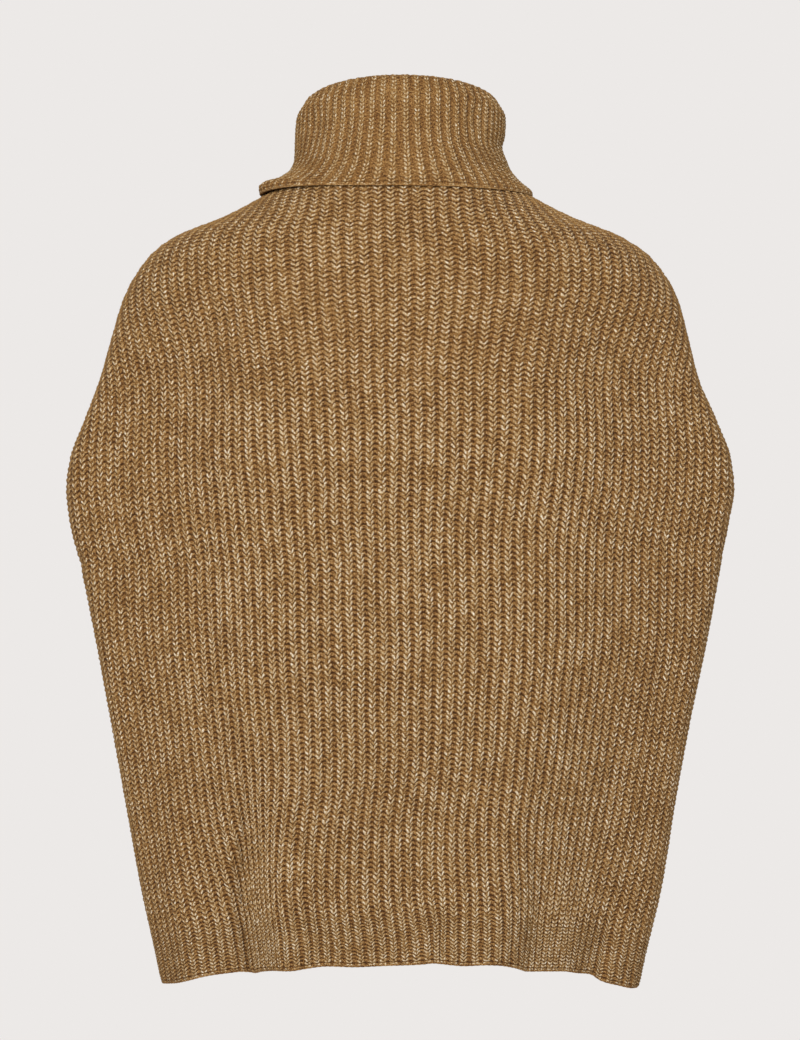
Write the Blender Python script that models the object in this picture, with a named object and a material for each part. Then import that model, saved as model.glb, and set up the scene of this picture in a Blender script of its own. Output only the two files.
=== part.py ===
# Turtleneck poncho, worn: a chunky half-cardigan knit hanging from the shoulders.
# Two ribbed panels meet along the shoulders and sides, and a ribbed tube folds over as the roll collar.
# Frame: metres, +Z up, back of the garment towards -Y, origin at the middle of the shoulder line.

from collections import namedtuple

import bpy
import numpy as np

for leftover in list(bpy.data.objects):
    bpy.data.objects.remove(leftover, do_unlink=True)

# Sizes of the knit and of the cloth, in metres
PANEL_RIBS = 68
NECK_RIBS = 22
RIB_RELIEF = 0.0018
PANEL_WALL = 0.0028
COLLAR_RIBS = 60
COLLAR_RELIEF = 0.0013
COLLAR_WALL = 0.0032
SEAM_GAP = 0.0003
SECTION_ROUNDNESS = 2.2
RING_ROUNDNESS = 2.1
SECTION_SAMPLES = 361

# Body sections from the neck down: half widths to the left and right, depth to the back and to the
# front, and how many ribs would lie between the middle and the seam, of which the panel has 34.
Level = namedtuple("Level", "z left right back front ribs")
BODY_LEVELS = [
    Level(0.0160, 0.0880, 0.0870, 0.0740, 0.0680, 11.0),
    Level(0.0040, 0.1080, 0.1035, 0.0780, 0.0730, 12.8),
    Level(-0.0072, 0.1280, 0.1225, 0.0830, 0.0775, 14.6),
    Level(-0.0252, 0.1630, 0.1580, 0.0910, 0.0840, 17.6),
    Level(-0.0432, 0.2070, 0.2025, 0.0980, 0.0910, 20.4),
    Level(-0.0612, 0.2285, 0.2272, 0.1040, 0.0975, 22.3),
    Level(-0.0972, 0.2488, 0.2490, 0.1130, 0.1080, 24.8),
    Level(-0.1332, 0.2592, 0.2583, 0.1200, 0.1180, 26.8),
    Level(-0.1692, 0.2690, 0.2670, 0.1260, 0.1260, 28.6),
    Level(-0.2052, 0.2826, 0.2826, 0.1310, 0.1320, 30.3),
    Level(-0.2412, 0.2958, 0.2960, 0.1350, 0.1370, 31.7),
    Level(-0.2682, 0.2992, 0.2988, 0.1370, 0.1400, 32.5),
    Level(-0.2952, 0.2962, 0.2942, 0.1385, 0.1420, 33.1),
    Level(-0.3312, 0.2875, 0.2875, 0.1400, 0.1440, 33.7),
    Level(-0.4032, 0.2725, 0.2742, 0.1430, 0.1480, 34.9),
    Level(-0.4752, 0.2590, 0.2590, 0.1465, 0.1520, 35.0),
    Level(-0.5472, 0.2457, 0.2457, 0.1510, 0.1565, 35.0),
    Level(-0.6192, 0.2324, 0.2340, 0.1560, 0.1610, 35.0),
    Level(-0.6912, 0.2167, 0.2172, 0.1600, 0.1650, 35.0),
    Level(-0.7250, 0.2102, 0.2105, 0.1615, 0.1665, 35.0),
]

# Neck edge heights at the middle of each panel; both rise to the first body level at the shoulders.
NECK_MIDDLE = {"back": 0.006, "front": -0.022}

# Heights of the bound-off hem along each panel, by rib counted from the middle.
HemPoint = namedtuple("HemPoint", "rib back front")
HEM_POINTS = [
    HemPoint(-34.0, -0.7130, -0.7130),
    HemPoint(-28.0, -0.7040, -0.7060),
    HemPoint(-23.0, -0.6965, -0.7000),
    HemPoint(-17.0, -0.6852, -0.6940),
    HemPoint(-14.0, -0.6880, -0.6925),
    HemPoint(-9.0, -0.6812, -0.6905),
    HemPoint(-4.0, -0.6766, -0.6895),
    HemPoint(0.0, -0.6768, -0.6890),
    HemPoint(5.0, -0.6722, -0.6890),
    HemPoint(10.0, -0.6752, -0.6900),
    HemPoint(15.0, -0.6840, -0.6920),
    HemPoint(22.5, -0.6925, -0.6960),
    HemPoint(24.0, -0.7003, -0.6975),
    HemPoint(28.0, -0.7080, -0.7050),
    HemPoint(34.0, -0.7150, -0.7150),
]

# Soft upright folds. Places are shares of the half width, other sizes are metres; a negative depth
# stands out. A fold runs from nothing at its start height to its whole depth at its full height.
Fold = namedtuple("Fold", "upper lower start full depth left right")
FOLDS = {
    "back": [
        Fold(-0.52, -0.60, -0.430, -0.640, 0.034, 0.0075, 0.0300),
        Fold(-0.76, -0.82, -0.450, -0.660, -0.012, 0.0300, 0.0260),
        Fold(-0.38, -0.41, -0.480, -0.660, -0.007, 0.0180, 0.0200),
        Fold(-0.08, -0.08, -0.520, -0.680, 0.008, 0.0300, 0.0300),
        Fold(0.20, 0.20, -0.560, -0.680, -0.005, 0.0120, 0.0080),
        Fold(0.36, 0.35, -0.480, -0.660, -0.006, 0.0180, 0.0160),
        Fold(0.44, 0.49, -0.500, -0.660, 0.014, 0.0100, 0.0160),
        Fold(0.72, 0.72, -0.400, -0.690, 0.026, 0.0400, 0.0340),
        Fold(0.84, 0.82, -0.600, -0.690, 0.008, 0.0200, 0.0070),
    ],
    "front": [
        Fold(-0.60, -0.66, -0.360, -0.660, 0.020, 0.0340, 0.0240),
        Fold(-0.34, -0.30, -0.430, -0.680, -0.009, 0.0260, 0.0260),
        Fold(-0.08, -0.10, -0.300, -0.640, 0.015, 0.0300, 0.0340),
        Fold(0.24, 0.20, -0.470, -0.680, -0.008, 0.0240, 0.0200),
        Fold(0.46, 0.52, -0.380, -0.660, 0.024, 0.0260, 0.0340),
        Fold(0.78, 0.80, -0.480, -0.690, -0.007, 0.0260, 0.0260),
    ],
}

# Share of the way down each rib at which the panels have a row of points.
ROW_SHARES = [0.0, 0.022, 0.055, 0.10, 0.155, 0.225, 0.31, 0.405, 0.50, 0.59, 0.675, 0.755, 0.83, 0.90, 0.955, 1.0]

# Collar rings: distance from the middle and height at the back, at each side and at the front,
# and how fast the height falls off away from the back and the front.
Ring = namedtuple("Ring", "back back_z left left_z right right_z front front_z drop")
TURNDOWN_RINGS = [
    Ring(0.0850, 0.0905, 0.0868, 0.0730, 0.0890, 0.0740, 0.0835, 0.0570, 1.1),
    Ring(0.0880, 0.0790, 0.0905, 0.0635, 0.0925, 0.0655, 0.0865, 0.0460, 1.3),
    Ring(0.0893, 0.0600, 0.0930, 0.0500, 0.0940, 0.0510, 0.0890, 0.0290, 1.6),
    Ring(0.0893, 0.0400, 0.0933, 0.0370, 0.0918, 0.0385, 0.0925, 0.0120, 2.0),
    Ring(0.0893, 0.0215, 0.0950, 0.0280, 0.0935, 0.0280, 0.0965, -0.0040, 2.5),
    Ring(0.0900, 0.0085, 0.1005, 0.0190, 0.0995, 0.0185, 0.1005, -0.0190, 3.0),
    Ring(0.0907, 0.0035, 0.1110, 0.0120, 0.1070, 0.0105, 0.1028, -0.0260, 3.0),
    Ring(0.0915, -0.0015, 0.1265, 0.0045, 0.1195, 0.0020, 0.1050, -0.0330, 3.0),
]
STAND_RINGS = [
    Ring(0.0782, 0.0905, 0.0800, 0.0730, 0.0822, 0.0740, 0.0767, 0.0570, 1.1),
    Ring(0.0790, 0.0600, 0.0830, 0.0520, 0.0840, 0.0520, 0.0785, 0.0290, 1.6),
    Ring(0.0775, 0.0300, 0.0840, 0.0320, 0.0840, 0.0320, 0.0790, 0.0020, 2.5),
]


def smooth_curve(xs, ys, x):
    """Monotone cubic through the points, xs rising."""
    xs = np.asarray(xs, float)
    ys = np.asarray(ys, float)
    x = np.clip(x, xs[0], xs[-1])
    step = np.diff(xs)
    slope = np.diff(ys) / step
    tangent = np.zeros(len(xs))
    tangent[0] = slope[0]
    tangent[-1] = slope[-1]
    for i in range(1, len(xs) - 1):
        if slope[i - 1] * slope[i] > 0:
            near = 2 * step[i] + step[i - 1]
            far = step[i] + 2 * step[i - 1]
            tangent[i] = (near + far) / (near / slope[i - 1] + far / slope[i])
    cell = np.clip(np.searchsorted(xs, x) - 1, 0, len(step) - 1)
    t = (x - xs[cell]) / step[cell]
    rise = 3 * t**2 - 2 * t**3
    lean = step[cell] * ((t**3 - 2 * t**2 + t) * tangent[cell] + (t**3 - t**2) * tangent[cell + 1])
    return ys[cell] + rise * (ys[cell + 1] - ys[cell]) + lean


def ramp(value, start, full):
    t = np.clip((value - start) / (full - start), 0.0, 1.0)
    return t * t * (3 - 2 * t)


LEVEL_DEPTHS = [-level.z for level in BODY_LEVELS]


def body_size(name, z):
    return smooth_curve(LEVEL_DEPTHS, [getattr(level, name) for level in BODY_LEVELS], -z)


SHOULDER_HEIGHTS = np.linspace(BODY_LEVELS[0].z, -0.4, 600)
SHOULDER_RIBS = body_size("ribs", SHOULDER_HEIGHTS)


def start_height(rib, side):
    """Height at which a rib begins, at the neck seam or on the shoulder line."""
    rib = abs(rib)
    top = BODY_LEVELS[0].z
    neck = NECK_RIBS / 2
    if rib <= neck:
        return top - (top - NECK_MIDDLE[side]) * np.cos(np.pi / 2 * rib / neck) ** 2
    return float(np.interp(rib, SHOULDER_RIBS, SHOULDER_HEIGHTS))


def hem_height(rib, side):
    ribs = [point.rib for point in HEM_POINTS]
    return float(smooth_curve(ribs, [getattr(point, side) for point in HEM_POINTS], rib))


def section(z, side):
    """Outer line of one panel at a height, from the left seam to the right, with its lengths along."""
    depth = body_size(side, z)
    facing = -1.0 if side == "back" else 1.0
    turn = np.linspace(-np.pi / 2, np.pi / 2, SECTION_SAMPLES)
    power = 2 / SECTION_ROUNDNESS
    half = np.where(turn < 0, body_size("left", z), body_size("right", z))
    x = half * np.sign(np.sin(turn)) * np.abs(np.sin(turn)) ** power
    y = facing * depth * np.abs(np.cos(turn)) ** power
    along = np.concatenate([[0.0], np.cumsum(np.hypot(np.diff(x), np.diff(y)))])
    across_x = np.gradient(x, along)
    across_y = np.gradient(y, along)
    out_x = -facing * across_y
    out_y = facing * across_x
    inward = np.zeros(len(x))
    for fold in FOLDS[side]:
        drop = ramp(-z, -fold.start, -fold.full)
        if drop > 0:
            share = fold.upper + (fold.lower - fold.upper) * drop
            middle = np.interp(share * body_size("left" if share < 0 else "right", z), x, along)
            away = along - middle
            width = np.where(away < 0, fold.left, fold.right)
            inward += fold.depth * drop * np.exp(-((away / width) ** 2))
    fade = ramp(np.minimum(along, along[-1] - along), 0.0, 0.03)
    x = x - out_x * inward * fade
    y = y - out_y * inward * fade
    along = np.concatenate([[0.0], np.cumsum(np.hypot(np.diff(x), np.diff(y)))])
    return x, y, along


def panel_point(rib, z, side):
    x, y, along = section(z, side)
    ribs = max(min(float(body_size("ribs", z)), PANEL_RIBS / 2), abs(rib))
    place = along[-1] * (rib + ribs) / (2 * ribs)
    return np.array([np.interp(place, along, x), np.interp(place, along, y), z])


def grid_normals(points, closed):
    """Unit normals of a grid of points, rows first, right-handed from rows down to columns across."""
    down = np.gradient(points, axis=0)
    if closed:
        across = np.roll(points, -1, axis=1) - np.roll(points, 1, axis=1)
    else:
        across = np.gradient(points, axis=1)
    normal = np.cross(down, across)
    return normal / np.linalg.norm(normal, axis=2, keepdims=True)


def new_material(name, colour):
    material = bpy.data.materials.new(name)
    material.use_nodes = True
    shader = material.node_tree.nodes["Principled BSDF"]
    shader.inputs["Base Color"].default_value = (*colour, 1.0)
    shader.inputs["Roughness"].default_value = 0.9
    return material


def new_object(name, points, faces, colour):
    mesh = bpy.data.meshes.new(name)
    mesh.from_pydata([tuple(point) for point in points], [], faces)
    mesh.validate()
    mesh.update()
    mesh.materials.append(new_material(name, colour))
    made = bpy.data.objects.new(name, mesh)
    bpy.context.scene.collection.objects.link(made)
    return made


def strip(first, second, flip):
    """Quads between two rows of point numbers of one length."""
    faces = []
    for i in range(len(first) - 1):
        face = (first[i], second[i], second[i + 1], first[i + 1])
        faces.append(face[::-1] if flip else face)
    return faces


def split_strip(first, second, flip):
    """Triangles between two rows, each cut from its upper outer corner to its lower inner one."""
    faces = []
    for i in range(len(first) - 1):
        a, b, c, d = first[i], second[i], second[i + 1], first[i + 1]
        pair = ((a, b, c), (a, c, d)) if i < len(first) // 2 else ((a, b, d), (b, c, d))
        faces += [face[::-1] if flip else face for face in pair]
    return faces


def fan_strip(fine, coarse, flip):
    """Triangles between a row with two steps to each rib and a row with one."""
    faces = []
    for j in range(len(coarse) - 1):
        left, middle, right = fine[2 * j : 2 * j + 3]
        for face in ((left, coarse[j], middle), (middle, coarse[j], coarse[j + 1]), (middle, coarse[j + 1], right)):
            faces.append(face[::-1] if flip else face)
    return faces


def make_panel(name, side, colour):
    """One knitted panel: ribs raised on the outside of a wall with a plain inside."""
    facing = -1.0 if side == "back" else 1.0
    ribs = np.arange(2 * PANEL_RIBS + 1) / 2 - PANEL_RIBS / 2
    base = np.zeros((len(ROW_SHARES), len(ribs), 3))
    for column, rib in enumerate(ribs):
        top = start_height(rib, side)
        hem = hem_height(rib, side)
        for row, share in enumerate(ROW_SHARES):
            base[row, column] = panel_point(rib, top + (hem - top) * share, side)
    normal = grid_normals(base, False) * -facing
    on_seam = np.abs(ribs) >= NECK_RIBS / 2
    normal[0, on_seam, 1] = 0.0
    normal[:, 0, 1] = 0.0
    normal[:, -1, 1] = 0.0
    normal /= np.linalg.norm(normal, axis=2, keepdims=True)
    relief = np.zeros(base.shape[:2])
    relief[1:, 1::2] = RIB_RELIEF
    outer = base + normal * relief[:, :, None]
    inner = (base - normal * PANEL_WALL)[:, ::2]
    seam_y = facing * SEAM_GAP / 2
    outer[0, on_seam, 1] = seam_y
    inner[0, on_seam[::2], 1] = seam_y
    for edge in (0, -1):
        outer[:, edge, 1] = seam_y
        inner[:, edge, 1] = seam_y
    rows = len(ROW_SHARES)
    outer_ids = np.arange(outer.shape[0] * outer.shape[1]).reshape(outer.shape[:2])
    inner_ids = np.arange(inner.shape[0] * inner.shape[1]).reshape(inner.shape[:2]) + outer_ids.size
    flip = side == "front"
    faces = []
    for row in range(rows - 1):
        faces += split_strip(outer_ids[row].tolist(), outer_ids[row + 1].tolist(), flip)
        faces += split_strip(inner_ids[row].tolist(), inner_ids[row + 1].tolist(), not flip)
    faces += fan_strip(outer_ids[0].tolist(), inner_ids[0].tolist(), not flip)
    faces += fan_strip(outer_ids[-1].tolist(), inner_ids[-1].tolist(), flip)
    faces += strip(outer_ids[:, 0].tolist(), inner_ids[:, 0].tolist(), flip)
    faces += strip(outer_ids[:, -1].tolist(), inner_ids[:, -1].tolist(), not flip)
    points = np.concatenate([outer.reshape(-1, 3), inner.reshape(-1, 3)])
    return new_object(name, points, faces, colour)


def ring_point(ring, turn):
    """Point of a collar ring: turn 0 at the back, a quarter turn at the right side."""
    across = np.sin(turn)
    ahead = np.cos(turn)
    side_r, side_z = (ring.left, ring.left_z) if across < 0 else (ring.right, ring.right_z)
    end_r, end_z = (ring.back, ring.back_z) if ahead > 0 else (ring.front, ring.front_z)
    power = 2 / RING_ROUNDNESS
    x = side_r * np.sign(across) * np.abs(across) ** power
    y = -end_r * np.sign(ahead) * np.abs(ahead) ** power
    return np.array([x, y, side_z + (end_z - side_z) * np.abs(ahead) ** ring.drop])


def neck_point(turn):
    """Point of the neck seam at a collar turn."""
    quarter = NECK_RIBS / 2
    share = (turn / (np.pi / 2)) % 4
    if share <= 1:
        return panel_point(share * quarter, start_height(share * quarter, "back"), "back")
    if share < 3:
        rib = (2 - share) * quarter
        return panel_point(rib, start_height(rib, "front"), "front")
    rib = (share - 4) * quarter
    return panel_point(rib, start_height(rib, "back"), "back")


def make_collar(name, colour):
    """Roll collar: stand up from the neck seam, round the fold, and down as the turndown."""
    columns = 2 * COLLAR_RIBS
    turns = np.arange(columns) * 2 * np.pi / columns
    face = np.array([[ring_point(ring, turn) for turn in turns] for ring in TURNDOWN_RINGS])
    face_normal = grid_normals(face, True)
    relief = np.zeros(face.shape[:2])
    relief[:, 1::2] = COLLAR_RELIEF
    outside = face + face_normal * relief[:, :, None]
    backing = (face - face_normal * COLLAR_WALL)[:, ::2]
    stand_rows = [[ring_point(ring, turn) for turn in turns[::2]] for ring in STAND_RINGS]
    seam = np.array([neck_point(turn) for turn in turns[::2]])
    seam_normal = seam * [1.0, 1.0, 0.0]
    seam_normal /= np.linalg.norm(seam_normal, axis=1, keepdims=True)
    foot = seam - seam_normal * COLLAR_WALL / 2 + [0.0, 0.0, SEAM_GAP]
    stand = np.array(stand_rows + [foot])
    stand_normal = grid_normals(stand, True)
    stand_normal[-1] = seam_normal
    stand_out = stand + stand_normal * COLLAR_WALL / 2
    stand_in = stand - stand_normal * COLLAR_WALL / 2
    start = face[0, ::2]
    end = stand_in[0]
    middle = (start + end) / 2
    crest = []
    for angle in (45.0, 90.0, 135.0):
        lift = np.linalg.norm(start - end, axis=1, keepdims=True) / 2
        sideways = (start - middle) * np.cos(np.radians(angle))
        crest.append(middle + sideways + lift * np.sin(np.radians(angle)) * np.array([0.0, 0.0, 1.0]))
    coarse_rows = crest + list(stand_in) + list(stand_out[::-1]) + list(backing)
    coarse = np.array(coarse_rows)
    fine_ids = np.arange(outside.shape[0] * columns).reshape(outside.shape[:2])
    coarse_ids = np.arange(coarse.shape[0] * COLLAR_RIBS).reshape(coarse.shape[:2]) + fine_ids.size
    fine_ids = np.concatenate([fine_ids, fine_ids[:, :1]], axis=1)
    coarse_ids = np.concatenate([coarse_ids, coarse_ids[:, :1]], axis=1)
    faces = []
    for row in range(len(fine_ids) - 1):
        faces += strip(fine_ids[row].tolist(), fine_ids[row + 1].tolist(), False)
    for row in range(len(coarse_ids) - 1):
        faces += strip(coarse_ids[row].tolist(), coarse_ids[row + 1].tolist(), True)
    faces += fan_strip(fine_ids[0].tolist(), coarse_ids[0].tolist(), True)
    faces += fan_strip(fine_ids[-1].tolist(), coarse_ids[-1].tolist(), False)
    points = np.concatenate([outside.reshape(-1, 3), coarse.reshape(-1, 3)])
    return new_object(name, points, faces, colour)


make_panel("back_panel", "back", (0.30, 0.17, 0.07))
make_panel("front_panel", "front", (0.30, 0.17, 0.07))
make_collar("roll_collar", (0.28, 0.16, 0.065))
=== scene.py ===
# Looks of the knitted turtleneck poncho: every rib and stitch of the cloth, its colour, and the studio.
# All sizes are metres. The back of the garment faces -Y, towards the camera.

import math
from collections import namedtuple

import bmesh
import bpy
import numpy as np
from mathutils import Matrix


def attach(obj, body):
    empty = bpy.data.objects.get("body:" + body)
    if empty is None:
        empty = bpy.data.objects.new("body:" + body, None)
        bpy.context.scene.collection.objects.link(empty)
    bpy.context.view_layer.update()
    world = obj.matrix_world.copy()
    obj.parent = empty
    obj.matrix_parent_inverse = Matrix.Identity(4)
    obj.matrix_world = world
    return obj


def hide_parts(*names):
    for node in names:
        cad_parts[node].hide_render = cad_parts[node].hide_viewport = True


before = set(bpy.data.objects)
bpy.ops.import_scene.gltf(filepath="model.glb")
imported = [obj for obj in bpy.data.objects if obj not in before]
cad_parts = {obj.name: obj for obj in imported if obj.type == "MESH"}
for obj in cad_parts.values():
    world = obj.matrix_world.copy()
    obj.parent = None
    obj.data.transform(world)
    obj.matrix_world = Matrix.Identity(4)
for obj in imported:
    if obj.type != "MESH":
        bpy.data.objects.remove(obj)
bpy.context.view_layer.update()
bpy.ops.object.select_all(action="DESELECT")
print("frame loaded")

# Camera at the photograph's angle: level, straight at the back
view = {
    "middleHeight": -0.2952,
    "distance": 3.0,
    "frameHeight": 0.936,  # what the picture spans at the shoulder line
    "sensor": 36.0,
    "nearest": 0.05,
    "farthest": 50.0,
}


def addCamera():
    data = bpy.data.cameras.new("camera")
    camera = bpy.data.objects.new("camera", data)
    bpy.context.scene.collection.objects.link(camera)
    camera.location = (0.0, -view["distance"], view["middleHeight"])
    camera.rotation_euler = (math.pi / 2, 0.0, 0.0)
    data.sensor_width = view["sensor"]
    data.lens = view["sensor"] * view["distance"] / view["frameHeight"]
    data.clip_start = view["nearest"]
    data.clip_end = view["farthest"]
    bpy.context.scene.camera = camera


addCamera()

# The form of the worn body: the same sections as the solids have
knit = {
    "panelRibs": 72,
    "neckRibs": 22,
    "columnsPerRib": 8,
    "innerStep": 4,  # the inside of the cloth has every fourth column of points
    "wall": 0.0028,
    "seamGap": 0.0003,
    "sectionRoundness": 2.2,
    "cornerRoundness": 3.0,
    "slantStart": 1.44,  # the sides run straight back towards a turned corner: depth share at the middle
    "slantFall": 1.04,
    "slantSoftness": 0.04,
    "slantHeights": (-0.05, -0.16),  # where the straight sides begin and are full
    "flapRise": 1.3,  # power by which the cloth rises again behind a flap
    "seamFade": 0.03,  # folds and creases fade out this far from the side seams
    "sectionSamples": 901,
    "sectionSpacing": 0.85,  # power on the spacing of the samples
    "heights": 900,
    "lowest": -0.72,
    "shoulderSamples": 600,
    "shouldersEnd": -0.40,  # all ribs begin above this height
    "hemGuess": -0.69,  # where the search for the end of a rib starts
}
seeds = {"back": 7, "front": 8, "collar": 11}
facing = {"back": -1.0, "front": 1.0}  # the way a panel faces along Y

# Half widths to the left and right, depth to the back and the front, ribs from the middle to the seam
Level = namedtuple("Level", "z left right back front ribs")
bodyLevels = [
    Level(0.0160, 0.0880, 0.0870, 0.0740, 0.0680, 11.0),
    Level(0.0040, 0.1065, 0.1023, 0.0780, 0.0730, 12.9),
    Level(-0.0072, 0.1250, 0.1199, 0.0830, 0.0775, 14.8),
    Level(-0.0252, 0.1596, 0.1552, 0.0910, 0.0840, 18.2),
    Level(-0.0432, 0.2036, 0.1997, 0.0980, 0.0910, 21.3),
    Level(-0.0612, 0.2259, 0.2254, 0.1040, 0.0975, 23.4),
    Level(-0.0972, 0.2468, 0.2478, 0.1130, 0.1080, 26.2),
    Level(-0.1332, 0.2572, 0.2571, 0.1200, 0.1180, 28.9),
    Level(-0.1692, 0.2670, 0.2658, 0.1260, 0.1260, 31.4),
    Level(-0.2052, 0.2806, 0.2814, 0.1310, 0.1320, 33.5),
    Level(-0.2412, 0.2938, 0.2948, 0.1350, 0.1370, 34.9),
    Level(-0.2682, 0.2972, 0.2976, 0.1370, 0.1400, 35.5),
    Level(-0.2952, 0.2942, 0.2930, 0.1385, 0.1420, 35.8),
    Level(-0.3312, 0.2855, 0.2863, 0.1400, 0.1440, 36.0),
    Level(-0.4032, 0.2705, 0.2730, 0.1430, 0.1480, 36.3),
    Level(-0.4752, 0.2570, 0.2578, 0.1465, 0.1520, 36.6),
    Level(-0.5472, 0.2437, 0.2445, 0.1510, 0.1565, 36.8),
    Level(-0.6192, 0.2304, 0.2328, 0.1560, 0.1610, 37.0),
    Level(-0.6912, 0.2147, 0.2160, 0.1600, 0.1650, 37.0),
    Level(-0.7250, 0.2082, 0.2093, 0.1615, 0.1665, 37.0),
]
neckMiddle = {"back": 0.006, "front": -0.022}

# The hem along the back and along the front: distance across and height
hemPoints = {
    "back": [
        (-0.2105, -0.7030), (-0.2095, -0.7041), (-0.2077, -0.7034), (-0.1964, -0.7004), (-0.1861, -0.6966),
        (-0.1716, -0.6918), (-0.1551, -0.6884), (-0.1396, -0.6862), (-0.1271, -0.6876), (-0.1188, -0.6846),
        (-0.1054, -0.6812), (-0.0908, -0.6796), (-0.0816, -0.6779), (-0.0633, -0.6760), (-0.0357, -0.6772),
        (-0.0079, -0.6762), (0.0194, -0.6744), (0.0286, -0.6733), (0.0430, -0.6741), (0.0553, -0.6754),
        (0.0738, -0.6744), (0.0829, -0.6749), (0.0982, -0.6786), (0.1044, -0.6815), (0.1084, -0.6836),
        (0.1260, -0.6852), (0.1424, -0.6866), (0.1549, -0.6898), (0.1667, -0.6926), (0.1745, -0.6978),
        (0.1904, -0.7028), (0.2039, -0.7070), (0.2091, -0.7078), (0.2110, -0.7112), (0.2113, -0.7146),
    ],
    "front": [
        (-0.2105, -0.7030), (-0.2029, -0.7024), (-0.1799, -0.7000), (-0.1160, -0.6925), (-0.0331, -0.6895),
        (0.0868, -0.6900), (0.1230, -0.6920), (0.1844, -0.6960), (0.2043, -0.7050), (0.2113, -0.7146),
    ],
}

# Upright folds: places are shares of the half width, a negative depth stands out.
# A flap is an edge with the cloth diving behind it and rising evenly to the right.
Fold = namedtuple("Fold", "upper lower start full depth left right flap", defaults=[False])
folds = {
    "back": [
        Fold(-0.520, -0.646, -0.480, -0.660, 0.017, 0.0036, 0.0500, True),
        Fold(-0.76, -0.82, -0.450, -0.660, -0.012, 0.0300, 0.0260),
        Fold(-0.38, -0.41, -0.480, -0.660, -0.007, 0.0180, 0.0200),
        Fold(-0.08, -0.08, -0.520, -0.680, 0.008, 0.0300, 0.0300),
        Fold(0.20, 0.20, -0.560, -0.680, -0.005, 0.0120, 0.0080),
        Fold(0.36, 0.35, -0.480, -0.660, -0.006, 0.0180, 0.0160),
        Fold(0.48, 0.54, -0.500, -0.660, 0.010, 0.0170, 0.0300),
        Fold(0.74, 0.74, -0.400, -0.690, 0.007, 0.0360, 0.0300),
        Fold(0.84, 0.82, -0.600, -0.690, 0.008, 0.0200, 0.0070),
    ],
    "front": [
        Fold(-0.60, -0.66, -0.360, -0.660, 0.020, 0.0340, 0.0240),
        Fold(-0.34, -0.30, -0.430, -0.680, -0.009, 0.0260, 0.0260),
        Fold(-0.08, -0.10, -0.300, -0.640, 0.015, 0.0300, 0.0340),
        Fold(0.24, 0.20, -0.470, -0.680, -0.008, 0.0240, 0.0200),
        Fold(0.46, 0.52, -0.380, -0.660, 0.024, 0.0260, 0.0340),
        Fold(0.78, 0.80, -0.480, -0.690, -0.007, 0.0260, 0.0260),
    ],
}

# Soft creases that run across: middle as a share of the half width, half length as such a share,
# height of the middle, rise over one half width, half height, depth
Crease = namedtuple("Crease", "middle length z rise height depth")
creases = {
    "back": [
        Crease(-0.30, 0.34, -0.268, 0.012, 0.009, 0.0022),
        Crease(0.16, 0.36, -0.271, -0.010, 0.010, 0.0024),
        Crease(-0.05, 0.55, -0.290, 0.000, 0.013, -0.0012),
        Crease(-0.88, 0.16, -0.332, 0.020, 0.006, 0.0016),
        Crease(-0.86, 0.13, -0.352, 0.030, 0.005, 0.0010),
        Crease(0.86, 0.15, -0.318, -0.030, 0.007, 0.0014),
        Crease(-0.62, 0.26, -0.118, 0.240, 0.014, 0.0018),
        Crease(0.66, 0.24, -0.128, -0.260, 0.013, 0.0016),
        Crease(0.34, 0.20, -0.452, -0.060, 0.010, 0.0012),
    ],
    "front": [
        Crease(-0.22, 0.40, -0.246, 0.030, 0.011, 0.0024),
        Crease(0.30, 0.30, -0.272, -0.020, 0.009, 0.0018),
        Crease(0.02, 0.50, -0.062, 0.000, 0.012, 0.0020),
        Crease(-0.64, 0.24, -0.122, 0.250, 0.014, 0.0020),
        Crease(0.62, 0.26, -0.136, -0.240, 0.013, 0.0018),
        Crease(0.84, 0.16, -0.340, -0.030, 0.007, 0.0014),
        Crease(-0.84, 0.14, -0.322, 0.030, 0.006, 0.0016),
    ],
}


def smoothCurve(xs, ys, x):
    # monotone cubic through the points, xs rising; ys may hold several values for each point
    xs = np.asarray(xs, float)
    ys = np.asarray(ys, float)
    x = np.clip(x, xs[0], xs[-1])
    tail = (1,) * (ys.ndim - 1)
    step = np.diff(xs).reshape(-1, *tail)
    slope = np.diff(ys, axis=0) / step
    tangent = np.zeros_like(ys)
    tangent[0] = slope[0]
    tangent[-1] = slope[-1]
    near = 2 * step[1:] + step[:-1]
    far = step[1:] + 2 * step[:-1]
    rising = slope[:-1] * slope[1:] > 0
    before = np.where(rising, slope[:-1], 1.0)
    after = np.where(rising, slope[1:], 1.0)
    tangent[1:-1] = np.where(rising, (near + far) / (near / before + far / after), 0.0)
    cell = np.clip(np.searchsorted(xs, x) - 1, 0, len(xs) - 2)
    wide = np.diff(xs)[cell]
    t = ((x - xs[cell]) / wide).reshape(np.shape(x) + tail)
    wide = wide.reshape(np.shape(x) + tail)
    rise = 3 * t**2 - 2 * t**3
    lean = wide * ((t**3 - 2 * t**2 + t) * tangent[cell] + (t**3 - t**2) * tangent[cell + 1])
    return ys[cell] + rise * (ys[cell + 1] - ys[cell]) + lean


def curveThrough(points, x):
    xs, ys = zip(*points)
    return smoothCurve(xs, ys, x)


def ramp(value, start, full):
    t = np.clip((value - start) / (full - start), 0.0, 1.0)
    return t * t * (3 - 2 * t)


def blend(first, second, share):
    return first + (second - first) * share


def bell(away, width):
    return np.exp(-((away / width) ** 2))


def unit(vectors):
    return vectors / np.linalg.norm(vectors, axis=-1, keepdims=True)


def runningSum(steps):
    return np.concatenate([np.zeros_like(steps[:1]), np.cumsum(steps, axis=0)])


levelDepths = [-level.z for level in bodyLevels]


def bodySize(name, z):
    return smoothCurve(levelDepths, [getattr(level, name) for level in bodyLevels], -z)


def halfWidth(x, z):
    return np.where(x < 0, bodySize("left", z), bodySize("right", z))


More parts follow.
